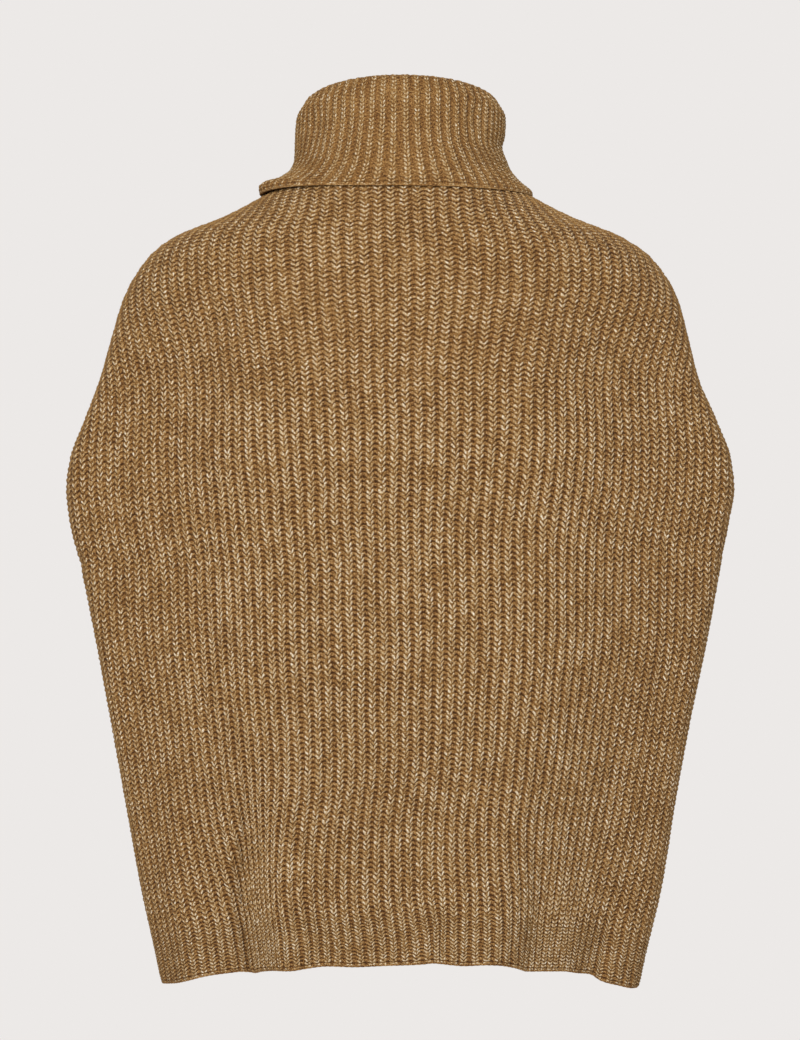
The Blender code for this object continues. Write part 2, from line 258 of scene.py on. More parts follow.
shoulderHeights = np.linspace(bodyLevels[0].z, knit["shouldersEnd"], knit["shoulderSamples"])
shoulderRibs = bodySize("ribs", shoulderHeights)


def startHeight(rib, side):
    # where a rib begins: at the neck, or further out along the shoulder seam
    rib = abs(rib)
    neck = knit["neckRibs"] / 2
    if rib <= neck:
        return blend(bodyLevels[0].z, neckMiddle[side], math.cos(math.pi / 2 * rib / neck) ** 2)
    return float(np.interp(rib, shoulderRibs, shoulderHeights))


def outlineDepth(share, z):
    # share of the depth by the share of the half width: round at the shoulders, straight sides below
    rounded = (1 - share ** knit["sectionRoundness"]) ** (1 / knit["sectionRoundness"])
    corner = (1 - share ** knit["cornerRoundness"]) ** (1 / knit["cornerRoundness"])
    slant = knit["slantStart"] - knit["slantFall"] * share
    soft = knit["slantSoftness"]
    slanted = -soft * np.log(np.exp(-corner / soft) + np.exp(-slant / soft))
    straight = ramp(z, *knit["slantHeights"])
    return np.maximum(blend(rounded, slanted, straight), 0.0)


def lengthsAlong(x, y):
    return runningSum(np.hypot(np.diff(x), np.diff(y)))


def sectionAt(z, side):
    # outer line of one panel at a height, from the left seam to the right, with its lengths along
    turn = np.linspace(-math.pi / 2, math.pi / 2, knit["sectionSamples"])
    share = np.sign(turn) * np.abs(np.sin(turn)) ** knit["sectionSpacing"]
    x = halfWidth(turn, z) * share
    y = facing[side] * bodySize(side, z) * outlineDepth(np.abs(share), z)
    along = lengthsAlong(x, y)
    inward = np.zeros(len(x))
    for fold in folds[side]:
        drop = ramp(z, fold.start, fold.full)
        if drop > 0:
            place = blend(fold.upper, fold.lower, drop)
            away = along - np.interp(place * halfWidth(place, z), x, along)
            width = np.where(away < 0, fold.left, fold.right)
            shape = bell(away, width)
            if fold.flap:
                behind = np.clip(1 - away / width, 0.0, 1.0) ** knit["flapRise"]
                shape = np.where(away < 0, shape, behind)
            inward += fold.depth * drop * shape
    for crease in creases[side]:
        level = crease.z + crease.rise * (share - crease.middle)
        near = bell(share - crease.middle, crease.length)
        inward += crease.depth * near * bell(z - level, crease.height)
    inward *= facing[side] * ramp(np.minimum(along, along[-1] - along), 0.0, knit["seamFade"])
    x, y = x + np.gradient(y, along) * inward, y - np.gradient(x, along) * inward
    return x, y, lengthsAlong(x, y)


# How densely the ribs lie along a section: closer on the sides than in the middle, looser round the corner.
# Each pair is a depth below the shoulder line and how much closer or looser they lie there, as a share.
ribSpread = {
    "sideShares": (0.36, 0.62),
    "side": [(-0.016, 0.10), (0.10, 0.19), (0.20, 0.19), (0.31, 0.08), (0.45, 0.05), (0.58, 0.0), (0.73, 0.0)],
    "cornerShares": (0.955, 0.985),
    "corner": [
        (-0.016, 0.30), (0.10, 0.45), (0.24, 0.50), (0.31, 0.36), (0.42, 0.10), (0.52, 0.10), (0.73, 0.12)
    ],
}

# Where ribs crowd together above the hem: share of the half width and half width of such a place,
# heights where it starts and is full, amount
Gather = namedtuple("Gather", "share half start full amount")
gathers = [
    Gather(0.148, 0.026, -0.610, -0.660, 0.60),
    Gather(0.600, 0.110, -0.540, -0.660, 0.58),
    Gather(-0.330, 0.060, -0.560, -0.680, 0.16),
    Gather(-0.520, 0.070, -0.480, -0.630, 0.44),
]
# Where they crowd, the gaps between them close first
gapClosing = {"density": (1.12, 1.50), "shift": 0.095}


def ribPlaces(ribs, z, along, share, reach):
    # lengths along a section where ribs lie; reach is the rib that lies on the seam
    side = ramp(np.abs(share), *ribSpread["sideShares"])
    corner = ramp(np.abs(share), *ribSpread["cornerShares"])
    density = 1 + curveThrough(ribSpread["side"], -z) * side - curveThrough(ribSpread["corner"], -z) * corner
    for gather in gathers:
        crowded = gather.amount * ramp(z, gather.start, gather.full)
        density += crowded * bell(share - gather.share, gather.half)
    filled = runningSum(np.diff(along) * (density[1:] + density[:-1]) / 2)
    wide = np.maximum(reach, np.abs(ribs))

    def placeOf(rib):
        return np.interp(filled[-1] * (rib + wide) / (2 * wide), filled, along)

    closed = ramp(np.interp(placeOf(ribs), along, density), *gapClosing["density"])
    return placeOf(ribs - gapClosing["shift"] * closed * np.sin(2 * math.pi * ribs))


# How the stitches lie. The zigzag is the height of a course across one rib, from the gap on its left
# to the gap on its right, in courses; the ridge is how far the rib stands out there, as a share.
stitches = {
    "mostCourses": 178,
    "pathSamples": 300,
    "zigzag": [0.43, 0.27, 0.02, -0.25, -0.47, 0.04, 0.37, 0.50],
    "evenZigzag": [0.38, 0.22, 0.00, -0.28, -0.45, -0.25, 0.02, 0.24],  # at the shoulders and the sides
    "zigzagFull": 1.5,  # courses from an edge where the zigzag is full
    "ridge": [0.0, 0.30, 0.78, 1.0, 0.84, 1.0, 0.72, 0.22],
    "evenHeights": (-0.26, -0.12),  # heights, and ribs from the middle, between which the even stitches begin
    "evenOuter": (15.0, 24.0),
    "evenAside": 0.8,  # how even they get at the sides
    "evenRidge": 0.74,  # share of the rib height that stays there
    "evenStrand": 0.45,  # share of the strands' height that stays in the gaps there
    "flatter": 0.42,  # how much of the zigzag goes where ribs are narrow, and at which widths
    "flatWidths": (0.0077, 0.0058),
    "strand": [0.00036, 0.00042, 0.00056, 0.00062, 0.00046, 0.00060, 0.00052, 0.00038],
    "ribHeight": 0.0014,
    "innerRib": 0.0005,  # height of the ribs on the inside
    "pocket": 0.0002,  # how much deeper the gaps are between two strands
    "bandCourses": 13,  # the tighter band at the hem
    "bandPitch": 0.00295,
    "bandFade": (-0.002, 0.012),  # distances from its upper end where the courses grow
    "bandStrand": 0.72,  # share of the strands' height in it, and distances from the hem where it ends
    "bandStrandEnd": (0.03, 0.06),
    "edgeRoll": 0.0012,  # radius of the bound-off edge
    "edgeWidth": 0.006,  # the stitches rise to full height this far from an edge
    "edgeRibs": 0.7,  # share of the rib height at the edge, and at a seam
    "seamRibs": 0.35,
    "seamWidth": 0.009,
    "seamSink": 0.0006,
    "uneven": 0.00012,
    "looseCourse": 0.045,  # how uneven a course lies, in courses, and from which courses on
    "looseRows": (1.0, 4.0),
    "lastGap": 0.2,  # least distance of the last row from the end, in courses
    "waver": 0.00035,
    "waverLengths": (0.094, 0.033),  # of its slow and its quick wave
}

# Height of one course in the middle of a panel, by distance from the hem
coursePitch = [
    (0.00, 0.00425), (0.10, 0.00425), (0.18, 0.00436), (0.28, 0.00460), (0.42, 0.00462), (0.56, 0.00446),
    (0.75, 0.0044),
]

# Share by which courses are taller at the sides: near the hem, and how much more by the elbows
sidePitch = {"low": 0.03, "more": 0.12, "lengths": (0.22, 0.50), "ribs": (3.0, 28.0)}

# The rolled rim of a bound-off edge
boundEdge = {
    "angles": [165.0, 125.0, 88.0, 52.0, 14.0, -28.0],  # from the inside round to the outside, in degrees
    "courses": np.linspace(-1.4, -0.3, 6),
    "sink": 0.0003,
    "lobes": 2,  # swellings in each rib, and their height as a share of the radius
    "swell": 0.10,
    "twist": 150,  # degrees round the roll on which a swelling moves on by one
    "firstCourse": 1.6,  # the first course lies this many radii from the edge
}


def pitchAt(length, rib):
    aside = ramp(abs(rib), *sidePitch["ribs"])
    more = sidePitch["low"] + sidePitch["more"] * ramp(length, *sidePitch["lengths"])
    body = curveThrough(coursePitch, length) * (1 + aside * more)
    band = stitches["bandCourses"] * stitches["bandPitch"] + stitches["edgeRoll"]
    return blend(stitches["bandPitch"], body, ramp(length - band, *stitches["bandFade"]))


def panelSurface(side):
    # points, outward normals and directions across, for every height and every column of the panel
    halfRibs = knit["panelRibs"] / 2
    ribs = np.arange(knit["columnsPerRib"] * knit["panelRibs"] + 1) / knit["columnsPerRib"] - halfRibs
    heights = np.linspace(bodyLevels[0].z, knit["lowest"], knit["heights"])
    points = np.zeros((len(heights), len(ribs), 3))
    across = np.zeros_like(points)
    inside = np.zeros(points.shape[:2], bool)
    for row, z in enumerate(heights):
        x, y, along = sectionAt(z, side)
        reach = min(float(bodySize("ribs", z)), halfRibs)
        place = ribPlaces(ribs, z, along, x / halfWidth(x, z), reach)
        points[row, :, 0] = np.interp(place, along, x)
        points[row, :, 1] = np.interp(place, along, y)
        points[row, :, 2] = z
        inside[row] = np.abs(ribs) <= reach + 1e-9
        first, last = np.flatnonzero(inside[row])[[0, -1]]
        across[row, first : last + 1] = np.gradient(points[row, first : last + 1], axis=0)
        across[row, :first] = across[row, first]
        across[row, last + 1 :] = across[row, last]
    normals = unit(np.cross(np.gradient(points, axis=0), across) * -facing[side])
    across = unit(across)
    for column in range(len(ribs)):
        first = min(int(np.argmax(inside[:, column])) + 1, len(heights) - 1)
        normals[:first, column] = normals[first, column]
        across[:first, column] = across[first, column]
    return ribs, heights, (points, normals, across)


def atPlaces(wanted, places, values):
    # a row of three values for each wanted place; places rise
    return np.stack([np.interp(wanted, places, values[:, k]) for k in range(3)], axis=-1)


def ribShare(ribs):
    # place within a rib, as an index into the tables of the stitches
    return np.rint((ribs - np.floor(ribs)) * knit["columnsPerRib"]).astype(int) % knit["columnsPerRib"]


def knitPlace(rib, course, flag):
    # what the yarn's material reads: rib, course, and 0 outside, 1 inside or -1 on a rolled edge
    return np.stack(np.broadcast_arrays(rib, course, flag), axis=-1)


def clampedFaces(ids):
    # faces between neighbouring columns of point numbers that may end at different rows
    faces = []
    first, second = ids[:-1], ids[1:]
    a, b = first[:, :-1].ravel(), first[:, 1:].ravel()
    c, d = second[:, 1:].ravel(), second[:, :-1].ravel()
    whole = (a != d) & (b != c)
    faces += np.stack([a, b, c, d], axis=1)[whole].tolist()
    leftOnly = (a != d) & (b == c)
    faces += np.stack([a, b, d], axis=1)[leftOnly].tolist()
    rightOnly = (a == d) & (b != c)
    faces += np.stack([a, b, c], axis=1)[rightOnly].tolist()
    return faces


def zipStrip(first, second, points):
    # triangles between two lines of point numbers that run side by side
    def shares(line):
        steps = np.linalg.norm(np.diff(points[line], axis=0), axis=1) + 1e-9
        return runningSum(steps) / steps.sum()

    firstShare, secondShare = shares(first), shares(second)
    faces = []
    i, j = 0, 0
    while i < len(first) - 1 or j < len(second) - 1:
        if j == len(second) - 1 or (i < len(first) - 1 and firstShare[i + 1] <= secondShare[j + 1]):
            faces.append((first[i], first[i + 1], second[j]))
            i += 1
        else:
            faces.append((first[i], second[j + 1], second[j]))
            j += 1
    return faces


def withoutRepeats(line):
    line = np.asarray(line)
    return line[np.concatenate([[True], np.diff(line) != 0])].tolist()


def addCloth(name, points, faces, knitValues, edges, material, aroundRibs=0):
    # one closed shell; edges are lines of point numbers that are corners, and aroundRibs is the number
    # of ribs of a tube, so that its last face doesn't run back to rib 0
    mesh = bpy.data.meshes.new(name)
    mesh.from_pydata(points.tolist(), [], faces)
    work = bmesh.new()
    work.from_mesh(mesh)
    bmesh.ops.recalc_face_normals(work, faces=work.faces)
    work.to_mesh(mesh)
    work.free()
    mesh.shade_smooth()
    corner = set()
    for line in edges:
        corner.update(tuple(sorted(pair)) for pair in zip(line[:-1], line[1:]))
    ends = np.zeros(len(mesh.edges) * 2, np.int64)
    mesh.edges.foreach_get("vertices", ends)
    ends = np.sort(ends.reshape(-1, 2), axis=1)
    sharp = np.array([tuple(pair) in corner for pair in ends.tolist()], bool)
    mesh.attributes.new("sharp_edge", "BOOLEAN", "EDGE").data.foreach_set("value", sharp)
    loops = np.zeros(len(mesh.loops), np.int64)
    mesh.loops.foreach_get("vertex_index", loops)
    values = knitValues[loops]
    if aroundRibs:
        starts = np.zeros(len(mesh.polygons), np.int64)
        mesh.polygons.foreach_get("loop_start", starts)
        sizes = np.diff(np.append(starts, len(loops)))
        most = np.repeat(np.maximum.reduceat(values[:, 0], starts), sizes)
        values[:, 0] += np.where(most - values[:, 0] > aroundRibs / 2, aroundRibs, 0)
    attribute = mesh.attributes.new("knit", "FLOAT_VECTOR", "CORNER")
    attribute.data.foreach_set("vector", values.astype(np.float32).ravel())
    low, high = values.min(axis=0), values.max(axis=0)
    place = (values - low) / np.maximum(high - low, 1e-9)
    flat = mesh.uv_layers.new(name="flatCut")
    flat.data.foreach_set("uv", place[:, :2].astype(np.float32).ravel())
    mesh.materials.append(material)
    cloth = bpy.data.objects.new(name, mesh)
    bpy.context.scene.collection.objects.link(cloth)
    print(name, sum(len(face) - 2 for face in faces), "triangles")
    return cloth


def edgeRoll(base, normals, up, ribs, radius):
    # rows of points round a bound-off edge, from the inside round to the outside
    rows = []
    centre = base + up * radius - normals * boundEdge["sink"]
    for angle in boundEdge["angles"]:
        lobe = np.cos(2 * math.pi * (boundEdge["lobes"] * ribs + angle / boundEdge["twist"]))
        swell = radius * (1 + boundEdge["swell"] * lobe)
        out = math.cos(math.radians(angle))
        below = math.sin(math.radians(angle))
        rows.append(centre + (normals * out - up * below) * swell[:, None])
    return rows


def hemHeight(columnX, heights, side):
    # where a column of points meets the hem: looked up at a guess, then again at the height found
    z = knit["hemGuess"]
    for _ in range(2):
        z = float(curveThrough(hemPoints[side], np.interp(-z, -heights, columnX)))
    return z


def waver(length, phases):
    # how a rib sways sideways on its way up
    slow, quick = (2 * math.pi / wave for wave in stitches["waverLengths"])
    return np.sin(length * slow + phases[0]) + 0.5 * np.sin(length * quick + phases[1])


def panelPoints(side):
    # the stitched outside and the plainer inside of a whole panel, as rows of points from hem to top
    ribs, heights, tables = panelSurface(side)
    table, tableNormals = tables[:2]
    share = ribShare(ribs)
    zigzag, evenZigzag, ridge, strand = (
        np.array(stitches[name])[share] for name in ("zigzag", "evenZigzag", "ridge", "strand")
    )
    gap = 1 - ridge
    halfRibs = knit["panelRibs"] / 2
    halfRib = knit["columnsPerRib"] // 2
    seamPlane = facing[side] * knit["seamGap"] / 2
    rowCount = 2 * stitches["mostCourses"]
    chance = np.random.RandomState(seeds[side])
    loose = chance.standard_normal((rowCount, len(ribs)))
    loose = (loose + np.roll(loose, 1, axis=1) + np.roll(loose, -1, axis=1)) / math.sqrt(3)
    loose = np.repeat(loose[::2], 2, axis=0)
    phase = chance.uniform(0, 2 * math.pi, (2, knit["panelRibs"] + 1))
    lead = len(boundEdge["angles"])
    outer = np.zeros((rowCount + lead, len(ribs), 3))
    inner = np.zeros((rowCount // 4 + 2, len(ribs), 3))
    outerKnit, innerKnit = np.zeros_like(outer), np.zeros_like(inner)
    outerEnd, innerEnd = np.zeros((2, len(ribs)), int)
    for column, rib in enumerate(ribs):
        hemZ = hemHeight(table[:, column, 0], heights, side)
        z = np.linspace(hemZ, startHeight(rib, side), stitches["pathSamples"])
        path = atPlaces(-z, -heights, table[:, column])
        lengths = runningSum(np.linalg.norm(np.diff(path, axis=0), axis=1))
        pitch = pitchAt(lengths, rib)
        course = runningSum(np.diff(lengths) * 2 / (pitch[1:] + pitch[:-1]))
        course -= np.interp(boundEdge["firstCourse"] * stitches["edgeRoll"], lengths, course)
        toSide = min(halfRibs - abs(rib), 1.0)
        onShoulder = abs(rib) >= knit["neckRibs"] / 2
        seamRows = slice(0, None) if toSide == 0 else slice(-1, None) if onShoulder else slice(0, 0)

        # where the rows lie, in courses
        rows = np.arange(rowCount) / 2
        rowHeights = np.interp(rows, course, z)
        even = ramp(rowHeights, *stitches["evenHeights"])
        aside = ramp(abs(rib), *stitches["evenOuter"])
        even = np.maximum(even, stitches["evenAside"] * aside)
        lean = blend(zigzag[column], evenZigzag[column], even)
        if toSide == 1:
            ribWidth = np.linalg.norm(table[:, column + halfRib] - table[:, column - halfRib], axis=1)
            width = np.interp(-rowHeights, -heights, ribWidth)
            lean *= 1 - stitches["flatter"] * ramp(width, *stitches["flatWidths"])
        freed = ramp(rows, *stitches["looseRows"]) * toSide
        wanted = rows + lean * ramp(rows, 0.0, stitches["zigzagFull"])
        wanted += stitches["looseCourse"] * loose[:, column] * freed
        count = int(np.searchsorted(wanted, course[-1] - stitches["lastGap"]))
        wanted = np.append(wanted[:count], course[-1])
        rows = np.append(rows[:count], course[-1] - lean[count])
        even = even[: count + 1]
        length = np.interp(wanted, course, lengths)

        # how far each row stands out and sways
        seam = ramp(lengths[-1] - length, 0.0, stitches["seamWidth"]) if onShoulder else np.ones(count + 1)
        seam *= blend(0.5, 1.0, ramp(toSide, -0.001, 0.5))
        edge = ramp(length, 0.0, stitches["edgeWidth"])
        pocket = gap[column] * stitches["pocket"] / strand[column]
        crest = np.where(np.arange(count + 1) % 2 == 0, 1.0, -1.0 - pocket)
        crest[-1] = 0.0
        raised = stitches["ribHeight"] * ridge[column] * blend(1.0, stitches["evenRidge"], even)
        raised *= blend(stitches["seamRibs"], 1.0, seam) * blend(stitches["edgeRibs"], 1.0, edge)
        strands = strand[column] * crest * blend(1.0, stitches["evenStrand"], gap[column] * even)
        strands *= blend(stitches["bandStrand"], 1.0, ramp(length, *stitches["bandStrandEnd"]))
        strands += stitches["uneven"] * loose[: count + 1, column]
        relief = raised + strands * seam * edge - stitches["seamSink"] * (1 - seam)
        number = int(rib + halfRibs)
        sway = waver(length, phase[:, number])
        if share[column] == 0:  # a gap sways with the ribs on both its sides
            sway = (sway + waver(length, phase[:, max(number - 1, 0)])) / 2
        sway *= stitches["waver"] * toSide * seam
        depths = -np.interp(wanted, course, z)
        place, normal, sideways = (atPlaces(depths, -heights, each[:, column]) for each in tables)
        place = place + normal * relief[:, None] + sideways * sway[:, None]

        up = unit(path[3] - path[0])
        rollNormal = atPlaces(-z[:1], -heights, tableNormals[:, column])
        roll = edgeRoll(path[:1], rollNormal, up, ribs[column : column + 1], stitches["edgeRoll"])
        cloth = np.concatenate([*roll, place])
        cloth[seamRows, 1] = seamPlane
        courses = np.append(boundEdge["courses"], rows)
        flags = np.where(courses < 0, -1.0, 0.0)
        outer[: len(cloth), column] = cloth
        outerKnit[: len(cloth), column] = knitPlace(rib + halfRibs, courses, flags)
        outerEnd[column] = len(cloth) - 1

        plain = np.append(np.arange(0.0, course[-1] - 1.0, 2.0), course[-1])
        depths = -np.interp(plain, course, z)
        place, normal = (atPlaces(depths, -heights, each[:, column]) for each in tables[:2])
        normal[seamRows, 1] = 0.0
        place -= unit(normal) * (knit["wall"] - stitches["innerRib"] * ridge[column])
        place[seamRows, 1] = seamPlane
        inner[: len(plain), column] = place
        innerKnit[: len(plain), column] = knitPlace(rib + halfRibs, plain, 1.0)
        innerEnd[column] = len(plain) - 1
    return outer, outerKnit, outerEnd, inner, innerKnit, innerEnd


def makePanelHalf(name, panel, first, last, material):
    # the columns from first to last of a panel, as one closed shell
    outer, outerKnit, outerEnd, inner, innerKnit, innerEnd = panel
    columns = np.arange(first, last + 1)
    coarse = columns[:: knit["innerStep"]]

    def numbered(chosen, ends, start):
        offsets = start + np.concatenate([[0], np.cumsum(ends[chosen] + 1)[:-1]])
        rows = np.arange(ends[chosen].max() + 1)[:, None]
        return offsets + np.minimum(rows, ends[chosen])

    def gathered(values, chosen, ends):
        return np.concatenate([values[: ends[c] + 1, c] for c in chosen])

    outerIds = numbered(columns, outerEnd, 0)
    innerIds = numbered(coarse, innerEnd, int(outerIds.max()) + 1)
    points = np.concatenate([gathered(outer, columns, outerEnd), gathered(inner, coarse, innerEnd)])
    knitValues = [gathered(outerKnit, columns, outerEnd), gathered(innerKnit, coarse, innerEnd)]
    faces = clampedFaces(outerIds) + clampedFaces(innerIds[:, ::-1])
    sides = []
    for rim in (np.s_[0], np.s_[:, -1], np.s_[-1], np.s_[:, 0]):
        outerLine, innerLine = withoutRepeats(outerIds[rim]), withoutRepeats(innerIds[rim])
        faces += zipStrip(outerLine, innerLine, points)
        sides.append((outerLine, innerLine))
    corners = [line for pair in sides[1:] for line in pair] + [sides[0][1]]
    return addCloth(name, points, faces, np.concatenate(knitValues), corners, material)


# Collar rings: distance from the middle and height at the back, at each side and at the front,
# and how fast the height falls off away from the back and the front
Ring = namedtuple("Ring", "back backZ left leftZ right rightZ front frontZ drop")
turndownRings = [
    Ring(0.0850, 0.0905, 0.0868, 0.0730, 0.0890, 0.0740, 0.0835, 0.0570, 1.1),
    Ring(0.0880, 0.0790, 0.0915, 0.0650, 0.0938, 0.0655, 0.0865, 0.0460, 1.3),
    Ring(0.0893, 0.0600, 0.0930, 0.0500, 0.0932, 0.0510, 0.0890, 0.0290, 1.6),
    Ring(0.0893, 0.0400, 0.0933, 0.0370, 0.0906, 0.0395, 0.0925, 0.0120, 2.0),
    Ring(0.0893, 0.0215, 0.0938, 0.0275, 0.0942, 0.0280, 0.0965, -0.0040, 2.5),
    Ring(0.0893, 0.0085, 0.0985, 0.0175, 0.0985, 0.0180, 0.1000, -0.0190, 3.0),
    Ring(0.0878, 0.0035, 0.1085, 0.0105, 0.1066, 0.0082, 0.1013, -0.0260, 3.0),
    Ring(0.0848, -0.0018, 0.1256, 0.0030, 0.1186, -0.0036, 0.1018, -0.0330, 2.6),
]
standRings = [
    Ring(0.0782, 0.0905, 0.0800, 0.0730, 0.0822, 0.0740, 0.0767, 0.0570, 1.1),
    Ring(0.0790, 0.0600, 0.0830, 0.0520, 0.0840, 0.0520, 0.0785, 0.0290, 1.6),
    Ring(0.0775, 0.0300, 0.0840, 0.0320, 0.0840, 0.0320, 0.0790, 0.0020, 2.5),
]

collar = {
    "ribs": 64,
    "wall": 0.0032,
    "roundness": 2.1,
    "radius": 0.09,  # by which a turn becomes a distance
    "pitch": 0.0034,
    "pathRows": 520,
    "hiddenRows": 44,
    "zigzag": [0.50, 0.24, 0.02, -0.24, -0.48, -0.14, 0.10, 0.30],
    "ridge": [0.0, 0.05, 0.45, 1.0, 0.85, 1.0, 0.50, 0.08],
    "strand": 0.00028,
    "ribHeight": 0.0014,
    "edgeRoll": 0.0011,
    "edgeRibs": 0.5,  # share of the rib height at the edge
    "edgeDrop": 0.0008,
    "uneven": 0.00010,
    "looseCourse": 0.05,
    "foldFlatter": 0.8,  # share of the rib height that goes on the fold at the top, and how far from it
    "foldWidth": 0.008,
    "leftCurl": (0.0055, 4),  # how far the edge turns down on a shoulder, and how fast that fades
    "rightCurl": (0.0012, 10),
    "fan": [0.0, 0.0, 0.0, 2.0, 4.5, 6.5, 5.5, 2.5],  # degrees by which ribs lean to the sides, ring by ring
    "dentsEnd": (0.40, 0.50),  # shares of the way from the edge over the fold where the dents fade out
}

# Soft hollows pressed into the turndown: turn from the back in degrees, height, half width, half height, depth
Dent = namedtuple("Dent", "turn z width height depth")
dents = [
    Dent(-52.0, 0.052, 0.013, 0.020, 0.0030),
    Dent(-30.0, 0.030, 0.010, 0.022, 0.0014),
    Dent(44.0, 0.060, 0.012, 0.018, 0.0026),
    Dent(150.0, 0.020, 0.016, 0.024, 0.0028),
    Dent(-160.0, 0.010, 0.014, 0.022, 0.0022),
]


def ringPoints(ring, turns):
    # turn 0 at the back, a quarter turn at the right side
    side = np.sin(turns)
    ahead = np.cos(turns)
    sideR = np.where(side < 0, ring.left, ring.right)
    sideZ = np.where(side < 0, ring.leftZ, ring.rightZ)
    endR = np.where(ahead > 0, ring.back, ring.front)
    endZ = np.where(ahead > 0, ring.backZ, ring.frontZ)
    power = 2 / collar["roundness"]
    x = sideR * np.sign(side) * np.abs(side) ** power
    y = -endR * np.sign(ahead) * np.abs(ahead) ** power
    return np.stack([x, y, sideZ + (endZ - sideZ) * np.abs(ahead) ** ring.drop], axis=1)


def neckPoints(turns):
    # the neck seam, where the collar's foot stands
    quarter = knit["neckRibs"] / 2
    points = []
    for turn in turns:
        share = (turn / (math.pi / 2)) % 4
        side = "back" if share <= 1 or share >= 3 else "front"
        rib = {0: share, 1: 2 - share, 2: 2 - share, 3: share - 4}[min(int(share), 3)] * quarter
        z = startHeight(rib, side)
        x, y, along = sectionAt(z, side)
        place = ribPlaces(np.array([rib]), z, along, x / halfWidth(x, z), float(bodySize("ribs", z)))[0]
        points.append((np.interp(place, along, x), np.interp(place, along, y), z))
    return np.array(points)


def alongPath(points, samples):
    # smooth path through rows of points, the same share along for every column
    steps = np.linalg.norm(np.diff(points, axis=0), axis=2).mean(axis=1)
    return smoothCurve(runningSum(steps) / steps.sum(), points, np.linspace(0.0, 1.0, samples))


def ringNormals(points):
    down = np.gradient(points, axis=0)
    across = np.roll(points, -1, axis=1) - np.roll(points, 1, axis=1)
    return unit(np.cross(across, down))


def collarSurface(turns):
    # rows of points from the edge over the fold and down inside the stand, their normals, and the hidden side
    wall = collar["wall"]
    side = np.sin(turns)
    upright = np.array([0.0, 0.0, 1.0])
    fanned = [turns + math.radians(fan) * np.sin(2 * turns) for fan in collar["fan"]]
    face = np.array([ringPoints(ring, turn) for ring, turn in zip(turndownRings, fanned)])
    curls = [amount * np.abs(side) ** fading for amount, fading in (collar["leftCurl"], collar["rightCurl"])]
    dropped = face[-1] - np.outer(collar["edgeDrop"] + np.where(side < 0, *curls), upright)
    face = np.concatenate([face, dropped[None]])
    seam = neckPoints(turns)
    outward = unit(seam * [1.0, 1.0, 0.0])
    foot = seam - outward * wall / 2 + upright * knit["seamGap"]
    stand = np.array([ringPoints(ring, turns) for ring in standRings] + [foot])
    standNormal = -ringNormals(stand)
    standNormal[-1] = outward
    standIn = stand - standNormal * wall / 2
    standOut = stand + standNormal * wall / 2
    middle = (face[0] + standIn[0]) / 2
    lift = np.linalg.norm(face[0] - standIn[0], axis=1, keepdims=True) / 2
    crest = []
    for angle in (45.0, 90.0, 135.0):
        aside = (face[0] - middle) * math.cos(math.radians(angle))
        crest.append(middle + aside + lift * math.sin(math.radians(angle)) * upright)
    path = alongPath(np.concatenate([face[::-1], crest, standIn]), collar["pathRows"])
    normals = ringNormals(path)
    depth = np.zeros(path.shape[:2])
    outside = 1 - ramp(np.arange(len(path)) / len(path), *collar["dentsEnd"])[:, None]
    for dent in dents:
        away = (turns - math.radians(dent.turn) + math.pi) % (2 * math.pi) - math.pi
        pressed = dent.depth * bell(away * collar["radius"], dent.width) * outside
        depth += pressed * bell(path[:, :, 2] - dent.z, dent.height)
    backing = face + ringNormals(face) * wall
    hidden = alongPath(np.concatenate([standOut[::-1], backing]), collar["hiddenRows"])
    return path - normals * depth[:, :, None], normals, hidden[:, :: knit["innerStep"]]


def ringIds(rows, first):
    # point numbers of closed rings, with the first column again at the end
    ids = np.arange(rows.shape[0] * rows.shape[1]).reshape(rows.shape[:2]) + first
    return np.concatenate([ids, ids[:, :1]], axis=1)


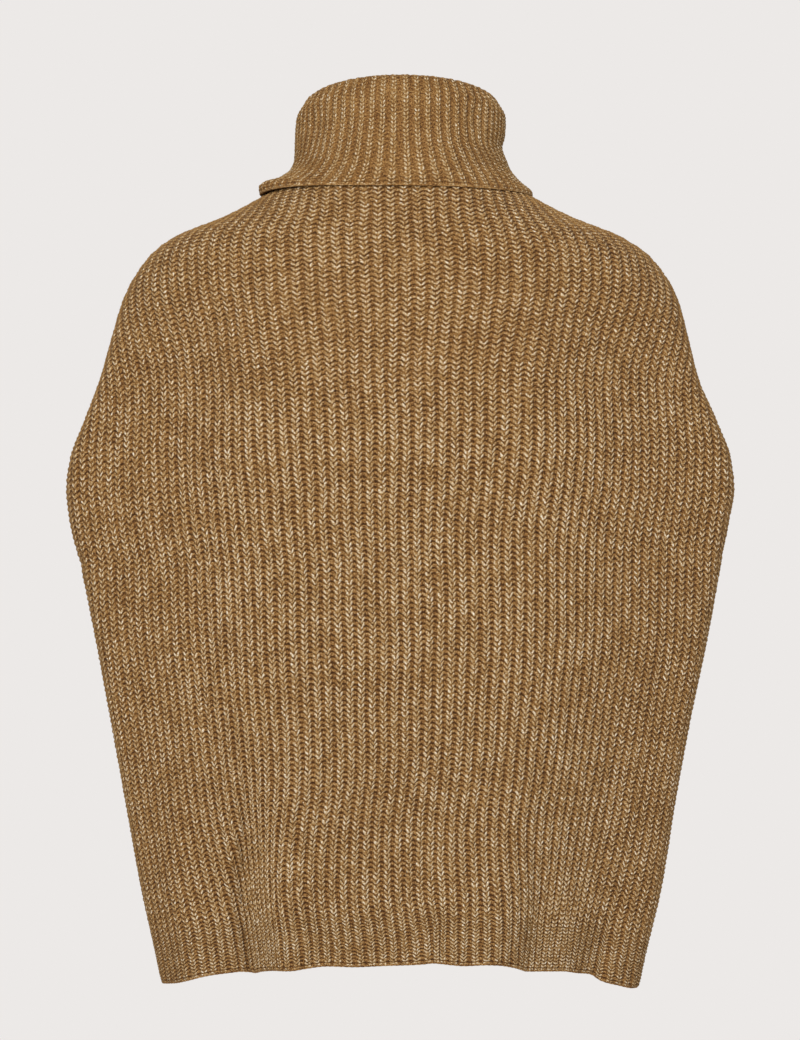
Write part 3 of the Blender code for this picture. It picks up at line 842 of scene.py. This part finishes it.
def makeCollar(name, material):
    columns = knit["columnsPerRib"] * collar["ribs"]
    turns = np.arange(columns) * 2 * math.pi / columns
    ribs = np.arange(columns) / knit["columnsPerRib"]
    path, normals, hidden = collarSurface(turns)
    zigzag = np.array(collar["zigzag"])[ribShare(ribs)]
    ridge = np.array(collar["ridge"])[ribShare(ribs)]
    chance = np.random.RandomState(seeds["collar"])
    lengths = runningSum(np.linalg.norm(np.diff(path, axis=0), axis=2))
    courses = int(round(lengths[-1].mean() / collar["pitch"]))
    rows = np.arange(2 * courses + 1) / 2
    loose = np.repeat(chance.standard_normal((courses + 1, columns)), 2, axis=0)[: len(rows)]
    loose = (loose + np.roll(loose, 1, axis=1)) / math.sqrt(2)
    start = boundEdge["firstCourse"] * collar["edgeRoll"]
    fade = ramp(rows, 0.0, stitches["zigzagFull"]) * ramp(courses - rows, 0.0, 1.0)
    crest = np.where(np.arange(len(rows)) % 2 == 0, 1.0, -1.0)
    stitched = []
    for column in range(columns):
        length = lengths[:, column]
        pitch = (length[-1] - start) / courses
        wanted = start + pitch * (rows + fade * (zigzag[column] + collar["looseCourse"] * loose[:, column]))
        place = atPlaces(wanted, length, path[:, column])
        normal = atPlaces(wanted, length, normals[:, column])
        edge = ramp(wanted, 0.0, stitches["edgeWidth"])
        top = length[np.argmax(path[:, column, 2])]
        relief = collar["ribHeight"] * ridge[column] * blend(collar["edgeRibs"], 1.0, edge)
        relief *= 1 - collar["foldFlatter"] * bell(wanted - top, collar["foldWidth"])
        relief += collar["strand"] * crest * edge
        relief += collar["uneven"] * loose[:, column] * edge
        stitched.append(place + normal * relief[:, None])
    roll = edgeRoll(path[0], normals[0], unit(path[6] - path[0]), ribs, collar["edgeRoll"])
    outer = np.concatenate([roll, np.stack(stitched, axis=1)])
    knitValues = [
        knitPlace(ribs, boundEdge["courses"][:, None], -1.0),
        knitPlace(ribs, rows[:, None], 0.0),
        knitPlace(ribs[:: knit["innerStep"]], np.linspace(courses, 0.0, len(hidden))[:, None], 1.0),
    ]
    knitValues = np.concatenate([values.reshape(-1, 3) for values in knitValues])
    points = np.concatenate([outer.reshape(-1, 3), hidden.reshape(-1, 3)])
    outerIds = ringIds(outer, 0)
    innerIds = ringIds(hidden, outer.shape[0] * columns)
    faces = clampedFaces(outerIds) + clampedFaces(innerIds)
    foot = [outerIds[-1].tolist(), innerIds[0].tolist()]
    faces += zipStrip(outerIds[0].tolist(), innerIds[-1].tolist(), points)
    faces += zipStrip(*foot, points)
    return addCloth(name, points, faces, knitValues, foot, material, collar["ribs"])


# Finish of the yarn: tones from the painted shade of its darkest hollows to its palest fibres and painted
# highlights
yarn = {
    "tones": [
        (0.00, (0.042, 0.016, 0.004)),
        (0.20, (0.118, 0.050, 0.014)),
        (0.42, (0.264, 0.131, 0.036)),
        (0.62, (0.412, 0.251, 0.096)),
        (0.80, (0.582, 0.442, 0.262)),
        (1.00, (0.830, 0.758, 0.630)),
    ],
    "base": 0.392,
    # the legs are lifted as painted highlight together with paler fibres
    "legs": 0.39,
    # painted shade in the gaps, pockets and grooves, painted highlight on the arches
    "gapShade": 0.08,
    "archHighlight": 0.09,
    "pocketShade": 0.18,
    "grooveShade": 0.21,
    "streaks": 0.44,
    "grain": 0.55,
    "fuzz": 0.0003,
    "grainScale": 950.0,
    "patches": 0.10,
    "patchScale": 45.0,
    "streakScale": (6.5, 4.6),  # across a rib and along the courses
    "evenHigh": (-0.26, -0.12),  # heights and distances from the middle where legs and gaps get more alike
    "evenWide": (0.13, 0.22),
    "evenAside": 0.8,
    "evenLegs": 0.92,
    "evenThin": 1.34,
    "evenGrooves": 1.15,
    "evenGaps": 0.80,
    "leftLeg": (-0.19, 0.20, 0.42),  # middle in a rib, half length, half thickness in courses
    "rightLeg": (0.15, 0.17, 0.46),
    "legRange": (0.50, 1.0),  # brightness of the dullest and of the brightest leg
    "gapMiddle": -0.08,  # in ribs from the line between two, and where a gap starts and stops to fade
    "gapWidth": (0.08, 0.26),
    "archWidth": (0.05, 0.26),  # distances from the middle of a strand, in courses
    "pocketWidth": (0.22, 0.42),
    "grooveWidth": (0.24, 0.46),
    "broken": 0.35,  # how faint the faintest bits of arches and grooves are
    "edge": -0.08,
    "edgeRange": (-0.10, 0.16),
    # painted sheen: the tone is drawn towards a paler one where the surface turns away from the camera
    "rim": 0.08,
    "paintedSheenAngle": (0.50, 0.90),
    "paintedSheenAmount": 0.75,
    "strandBump": 0.0008,
    "roughness": 0.9,
    "specular": 0.2,
    "sheen": 0.05,
    "sheenRoughness": 0.5,
    "sheenTint": (1.0, 0.86, 0.66, 1.0),
}


class Nodes:
    # short names for wiring a material or a world
    def __init__(self, owner):
        owner.use_nodes = True
        self.tree = owner.node_tree

    def fill(self, node, inputs):
        for key, value in inputs.items():
            if isinstance(value, bpy.types.NodeSocket):
                self.tree.links.new(value, node.inputs[key])
            else:
                node.inputs[key].default_value = value

    def add(self, kind, inputs, **settings):
        node = self.tree.nodes.new(kind)
        for key, value in settings.items():
            setattr(node, key, value)
        self.fill(node, inputs)
        return node

    def split(self, vector):
        return tuple(self.add("ShaderNodeSeparateXYZ", {0: vector}).outputs)

    def join(self, x, y, z):
        return self.add("ShaderNodeCombineXYZ", {0: x, 1: y, 2: z}).outputs[0]

    def math(self, operation, first, second=0.0):
        return self.add("ShaderNodeMath", {0: first, 1: second}, operation=operation).outputs[0]

    def times(self, first, *others):
        for other in others:
            first = self.math("MULTIPLY", first, other)
        return first

    def plus(self, first, *others):
        for other in others:
            first = self.math("ADD", first, other)
        return first

    def minus(self, first, second):
        return self.math("SUBTRACT", first, second)

    def band(self, value, low, high, start=1.0, end=0.0):
        # start below low, end above high
        limits = {"Value": value, "From Min": low, "From Max": high, "To Min": start, "To Max": end}
        return self.add("ShaderNodeMapRange", limits, interpolation_type="SMOOTHSTEP").outputs[0]

    def rise(self, value, low, high):
        return self.band(value, low, high, 0.0, 1.0)

    def toward(self, value, end):
        # 1 where the value is 0, end where it is 1
        return self.band(value, 0.0, 1.0, 1.0, end)

    def noise(self, place, scale, detail, roughness):
        inputs = {"Vector": place, "Scale": scale, "Detail": detail, "Roughness": roughness}
        return self.add("ShaderNodeTexNoise", inputs).outputs["Fac"]

    def draw(self, rib, course, kind=0.0):
        # a value by chance for each part of a rib in each course
        cell = self.join(self.math("FLOOR", rib), course, kind)
        return self.add("ShaderNodeTexWhiteNoise", {"Vector": cell}, noise_dimensions="3D").outputs["Value"]


def zigzagCurve(nodes, across, zigzag):
    curve = nodes.add("ShaderNodeFloatCurve", {"Value": nodes.plus(across, 0.5)})
    line = curve.mapping.curves[0]
    heights = zigzag + zigzag[:1]
    line.points[0].location = (0.0, heights[0] + 0.5)
    line.points[1].location = (1.0, heights[-1] + 0.5)
    for index in range(1, len(heights) - 1):
        line.points.new(index / (len(heights) - 1), heights[index] + 0.5)
    curve.mapping.update()
    return nodes.minus(curve.outputs[0], 0.5)


def knitMaterial(name, look):
    material = bpy.data.materials.new(name)
    nodes = Nodes(material)
    times, plus, minus = nodes.times, nodes.plus, nodes.minus
    place = nodes.add("ShaderNodeAttribute", {}, attribute_name="knit", attribute_type="GEOMETRY")
    rib, course, flag = nodes.split(place.outputs["Vector"])
    inside = nodes.math("MAXIMUM", flag, 0.0)
    rolled = nodes.math("MAXIMUM", times(flag, -1.0), 0.0)
    stitched = minus(1.0, rolled)
    across = minus(nodes.math("FRACT", rib), 0.5)
    # the outside has its zigzag in the mesh, the inside gets it here
    course = minus(course, times(zigzagCurve(nodes, across, look["zigzag"]), inside))
    count = nodes.math("FLOOR", plus(course, 0.5))
    fromCrest = minus(course, count)
    offCrest = nodes.math("ABSOLUTE", fromCrest)
    spot = nodes.add("ShaderNodeTexCoord", {}).outputs["Object"]
    spotX, _, spotZ = nodes.split(spot)
    high = nodes.rise(spotZ, *look["evenHigh"])
    wide = nodes.band(nodes.math("ABSOLUTE", spotX), *look["evenWide"], 0.0, look["evenAside"])
    even = nodes.math("MAXIMUM", high, wide)

    # the two legs of each V, painted lighter: partly painted highlight on the lit strands, partly paler
    # fibres, each yarn with its own brightness
    thinned = times(fromCrest, nodes.toward(even, look["evenThin"]))

    def leg(middle, length, thickness):
        aside = nodes.math("DIVIDE", minus(across, middle), length)
        above = nodes.math("DIVIDE", thinned, thickness)
        return nodes.band(plus(times(aside, aside), times(above, above)), 0.25, 1.25)

    legs = times(nodes.math("MAXIMUM", leg(*look["leftLeg"]), leg(*look["rightLeg"])), stitched)
    chance = nodes.draw(times(rib, 2.0), count)
    brightness = times(nodes.band(chance, 0.0, 1.0, *look["legRange"]), nodes.toward(high, look["evenLegs"]))

    # painted highlight on the arches in the gaps, painted shade in the gaps, their pockets and the grooves
    # between the courses
    toGap = minus(nodes.math("FRACT", plus(rib, 0.5 - look["gapMiddle"])), 0.5)
    gap = times(nodes.band(nodes.math("ABSOLUTE", toGap), *look["gapWidth"]), stitched)
    broken = nodes.band(nodes.draw(times(rib, 4.0), count, 3.0), 0.0, 0.7, look["broken"], 1.0)
    arch = times(gap, broken, nodes.band(offCrest, *look["archWidth"]))
    pocket = times(gap, nodes.rise(offCrest, *look["pocketWidth"]))
    groove = times(nodes.rise(offCrest, *look["grooveWidth"]), broken, stitched)
    groove = times(groove, nodes.toward(even, look["evenGrooves"]), nodes.toward(times(gap, even), 0.5))
    gap = times(gap, nodes.toward(even, look["evenGaps"]))

    # marled streaks along the yarn, fibres and patches
    streakX, streakY = look["streakScale"]
    streaks = nodes.noise(nodes.join(times(rib, streakX), times(course, streakY), inside), 1.0, 2.0, 0.6)
    grain = nodes.noise(spot, look["grainScale"], 2.0, 0.6)
    patches = nodes.noise(spot, look["patchScale"], 3.0, 0.5)

    # painted highlight and paler fibres on the legs
    tone = plus(times(legs, brightness, look["legs"]), look["base"])
    dull, bright = (look["edge"] + end for end in look["edgeRange"])
    tone = plus(tone, times(rolled, nodes.band(chance, 0.0, 1.0, dull, bright)))
    # painted highlight on the arches, painted shade in the gaps, pockets and grooves
    tone = plus(tone, times(arch, look["archHighlight"]))
    for part, amount in ((gap, "gapShade"), (pocket, "pocketShade"), (groove, "grooveShade")):
        tone = minus(tone, times(part, look[amount]))
    for part, amount in ((streaks, "streaks"), (grain, "grain"), (patches, "patches")):
        tone = plus(tone, nodes.band(part, 0.25, 0.75, -look[amount] / 2, look[amount] / 2))
    # painted sheen: the colour turns paler where the surface faces away
    facingAway = nodes.add("ShaderNodeLayerWeight", {"Blend": 0.5}).outputs["Facing"]
    rim = times(nodes.rise(facingAway, *look["paintedSheenAngle"]), look["paintedSheenAmount"])
    tone = plus(tone, times(minus(look["base"] + look["rim"], tone), rim))
    colour = nodes.add("ShaderNodeValToRGB", {"Fac": tone})
    stops = colour.color_ramp.elements
    for index, (position, shade) in enumerate(look["tones"]):
        stop = stops[index] if index < 2 else stops.new(position)
        stop.position = position
        stop.color = (*shade, 1.0)

    strands = times(nodes.band(offCrest, 0.0, 0.5, look["strandBump"], 0.0), stitched)
    strands = times(strands, nodes.toward(gap, 0.6), nodes.band(times(gap, even), 0.0, 0.8, 1.0, 0.5))
    rounded = times(legs, look["strandBump"] * 0.5)
    height = plus(strands, rounded, times(plus(streaks, grain), look["fuzz"]))
    bump = nodes.add("ShaderNodeBump", {"Strength": 1.0, "Distance": 1.0, "Height": height})
    finish = {
        "Base Color": colour.outputs[0],
        "Roughness": look["roughness"],
        "Specular IOR Level": look["specular"],
        "Sheen Weight": look["sheen"],
        "Sheen Roughness": look["sheenRoughness"],
        "Sheen Tint": look["sheenTint"],
        "Normal": bump.outputs[0],
    }
    nodes.fill(nodes.tree.nodes["Principled BSDF"], finish)
    return material


bodyYarn = knitMaterial("bodyKnit", {**yarn, "zigzag": stitches["zigzag"]})
collarLook = {
    "zigzag": collar["zigzag"],
    "base": 0.405,
    # the legs are lifted as painted highlight together with paler fibres
    "legs": 0.36,
    "evenLegs": 1.0,
    "evenThin": 1.0,
    "evenGrooves": 1.0,
    # painted shade in the gaps, pockets and grooves, painted highlight on the arches
    "gapShade": 0.10,
    "edge": 0.02,
    "archHighlight": 0.05,
    "pocketShade": 0.05,
    "grooveShade": 0.12,
    "streaks": 0.34,
    "grain": 0.46,
    "leftLeg": (-0.14, 0.12, 0.46),
    "rightLeg": (0.12, 0.11, 0.48),
}
collarYarn = knitMaterial("collarKnit", {**yarn, **collarLook})
print("materials made")

middleColumn = knit["columnsPerRib"] * knit["panelRibs"] // 2
for side in ("back", "front"):
    panel = panelPoints(side)
    print(side, "panel knitted")
    for half, first, last in (("Left", 0, middleColumn), ("Right", middleColumn, 2 * middleColumn)):
        piece = makePanelHalf(f"{side}{half}", panel, first, last, bodyYarn)
        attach(piece, "root")
        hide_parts(f"{side}_panel")

collarPiece = makeCollar("rollCollar", collarYarn)
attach(collarPiece, "root")
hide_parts("roll_collar")
print("collar made")

# Studio: a pale floor well below the hem, a pale surround and soft lamps
studio = {
    "paper": (0.840, 0.815, 0.800),
    "paperShade": 0.985,
    "surround": 0.42,
    "surroundColour": (1.0, 0.99, 0.975),
    "lampColour": (1.0, 0.985, 0.965),
    "floorHeight": -1.40,
    "floorRadius": 2.8,
    "floorThickness": 0.02,
}

Lamp = namedtuple("Lamp", "name place aim size power")
lamps = [
    Lamp("keyLamp", (-0.25, -2.6, 0.68), (0.0, 0.0, -0.20), 2.0, 73.0),
    Lamp("fillLamp", (0.9, -3.1, 0.3), (0.0, 0.0, -0.30), 1.4, 1.0),
    Lamp("backLamp", (0.4, 2.8, 1.6), (0.0, 0.0, -0.20), 2.0, 45.0),
]


def addFloor():
    middle = studio["floorHeight"] - studio["floorThickness"] / 2
    bpy.ops.mesh.primitive_cylinder_add(
        vertices=96, radius=studio["floorRadius"], depth=studio["floorThickness"], location=(0.0, 0.0, middle)
    )
    floor = bpy.context.active_object
    floor.name = "floor"
    paper = bpy.data.materials.new("palePaper")
    nodes = Nodes(paper)
    spot = nodes.add("ShaderNodeTexCoord", {}).outputs["Object"]
    shaded = tuple(studio["paperShade"] * c for c in studio["paper"])
    mixed = {"Factor": nodes.noise(spot, 3.0, 2.0, 0.5), 6: (*studio["paper"], 1.0), 7: (*shaded, 1.0)}
    colour = nodes.add("ShaderNodeMix", mixed, data_type="RGBA").outputs[2]
    nodes.fill(nodes.tree.nodes["Principled BSDF"], {"Base Color": colour, "Roughness": 0.9})
    floor.data.materials.append(paper)


def addLamp(lamp):
    data = bpy.data.lights.new(lamp.name, "AREA")
    data.shape = "SQUARE"
    data.size = lamp.size
    data.energy = lamp.power
    data.color = studio["lampColour"]
    light = bpy.data.objects.new(lamp.name, data)
    bpy.context.scene.collection.objects.link(light)
    light.location = lamp.place
    x, y, z = (a - b for a, b in zip(lamp.aim, lamp.place))
    light.rotation_euler = (math.atan2(math.hypot(x, y), -z), 0.0, math.atan2(-x, y))


def addSurround():
    # the camera sees the paper's colour, the garment gets a weaker light from all round
    world = bpy.data.worlds.new("surround")
    bpy.context.scene.world = world
    nodes = Nodes(world)
    seen = nodes.tree.nodes["Background"]
    nodes.fill(seen, {"Color": (*studio["paper"], 1.0), "Strength": 1.0})
    colour = (*studio["surroundColour"], 1.0)
    lighting = nodes.add("ShaderNodeBackground", {"Color": colour, "Strength": studio["surround"]})
    fromCamera = nodes.add("ShaderNodeLightPath", {}).outputs["Is Camera Ray"]
    pick = nodes.add("ShaderNodeMixShader", {0: fromCamera, 1: lighting.outputs[0], 2: seen.outputs[0]})
    nodes.fill(nodes.tree.nodes["World Output"], {"Surface": pick.outputs[0]})


addFloor()
for lamp in lamps:
    addLamp(lamp)
addSurround()
bpy.context.scene.view_settings.view_transform = "Standard"
print("studio made")

bpy.context.view_layer.update()
